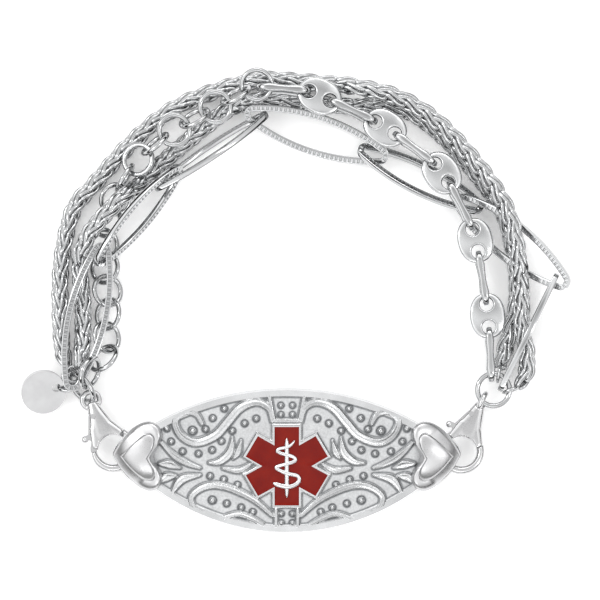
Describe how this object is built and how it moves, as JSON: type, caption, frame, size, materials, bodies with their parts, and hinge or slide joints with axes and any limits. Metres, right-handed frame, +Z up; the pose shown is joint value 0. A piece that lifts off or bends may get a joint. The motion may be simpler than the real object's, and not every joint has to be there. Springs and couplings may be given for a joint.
{
  "type": "medical alert bracelet",
  "caption": "Medical alert bracelet: curved engraved plaque with a red star, a heart at each end, lobster clasps and strands of mixed chain gathered on rings; lies flat.",
  "frame": {"origin": "middle of the bracelet's outline on the table it lies on", "axes": "+X along the plaque to its right end, +Y from the plaque across the wrist hollow to the far strands, +Z up from the table"},
  "size_m": [0.076, 0.0649, 0.0119],
  "materials": {
    "cast_steel": "cast stainless steel, raised work polished, ground frosted",
    "clasp_steel": "polished cast stainless steel",
    "chain_steel": "polished stainless steel wire",
    "enamel": "dark red glossy enamel"
  },
  "bodies": {
    "bracelet": {"id_plaque": "cast_steel", "enamel_star": "enamel", "clasp_body_left": "clasp_steel", "clasp_body_right": "clasp_steel", "clasp_rivet_left": "clasp_steel", "clasp_rivet_right": "clasp_steel", "gather_ring_left": "chain_steel", "gather_ring_right": "chain_steel", "tag_ring": "chain_steel", "round_tag": "chain_steel", "wheat_chain_outer": "chain_steel", "wheat_chain_inner": "chain_steel", "marquise_link_1": "chain_steel", "marquise_link_2": "chain_steel", "marquise_link_3": "chain_steel", "marquise_link_4": "chain_steel", "marquise_link_5": "chain_steel", "marquise_link_6": "chain_steel", "marquise_link_7": "chain_steel", "cable_link_1": "chain_steel", "cable_link_2": "chain_steel", "cable_link_3": "chain_steel", "cable_link_4": "chain_steel", "cable_link_5": "chain_steel", "cable_link_6": "chain_steel", "cable_link_7": "chain_steel", "cable_link_8": "chain_steel", "cable_link_9": "chain_steel", "cable_link_10": "chain_steel", "cable_link_11": "chain_steel", "cable_link_12": "chain_steel", "cable_link_13": "chain_steel", "cable_link_14": "chain_steel", "cable_link_15": "chain_steel", "cable_link_16": "chain_steel", "cable_link_17": "chain_steel", "puffed_disc_1": "chain_steel", "puffed_disc_2": "chain_steel", "puffed_disc_3": "chain_steel", "puffed_disc_4": "chain_steel", "puffed_disc_5": "chain_steel", "waisted_link_1": "chain_steel", "waisted_link_2": "chain_steel", "waisted_link_3": "chain_steel", "waisted_link_4": "chain_steel", "waisted_link_5": "chain_steel", "waisted_link_6": "chain_steel"},
    "lever_left": {"clasp_lever_left": "clasp_steel"},
    "lever_right": {"clasp_lever_right": "clasp_steel"}
  },
  "joints": [
    {"name": "left_clasp_lever", "type": "hinge", "parent": "bracelet", "child": "lever_left", "pos_m": [-0.02796, -0.01631, 0.00225], "axis": [0, 0, 1], "range_deg": [0, 8], "stiffness_Nm_per_rad": 0.0005},
    {"name": "right_clasp_lever", "type": "hinge", "parent": "bracelet", "child": "lever_right", "pos_m": [0.02418, -0.01595, 0.00225], "axis": [0, 0, 1], "range_deg": [0, 5], "stiffness_Nm_per_rad": 0.0005}
  ]
}
